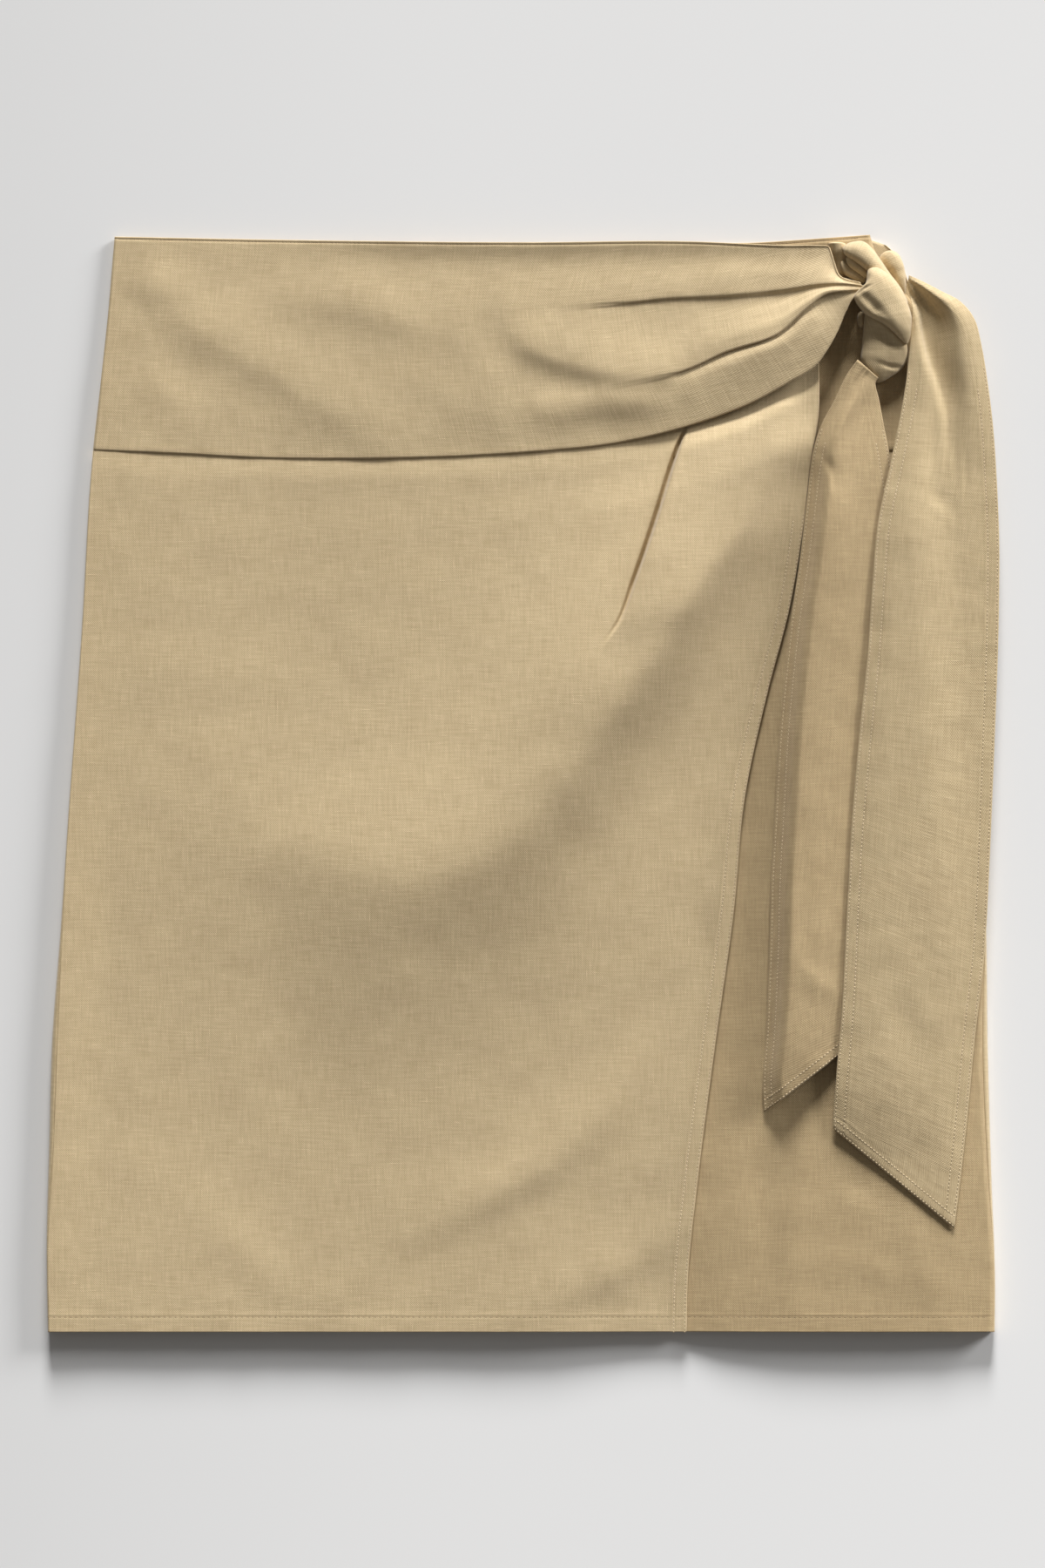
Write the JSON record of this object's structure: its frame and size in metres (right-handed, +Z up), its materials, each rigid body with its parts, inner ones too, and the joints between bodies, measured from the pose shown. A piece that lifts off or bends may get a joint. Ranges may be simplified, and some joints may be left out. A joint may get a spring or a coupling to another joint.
{
  "type": "wrap skirt laid flat",
  "caption": "Knee-length linen wrap skirt laid flat, front up, with a shaped yoke, a pleated overlap and ties knotted at one hip.",
  "frame": {"origin": "middle of the underside, on the surface that the skirt lies on", "axes": "+X to the right of the skirt as it lies with its front up (the wearer's left), +Y towards the waist, +Z up out of the front"},
  "size_m": [0.5027, 0.5788, 0.0254],
  "materials": {
    "linen": "matt plain-woven linen with slubs, sand brown"
  },
  "bodies": {
    "root": {"back_panel": "linen", "back_yoke": "linen", "under_panel": "linen", "under_yoke": "linen", "front_panel": "linen", "front_yoke": "linen", "tail_short": "linen", "tail_long": "linen", "tie_side_strip": "linen", "tie_side_loop": "linen", "tie_front_turn": "linen", "tie_front_band": "linen"}
  },
  "joints": []
}
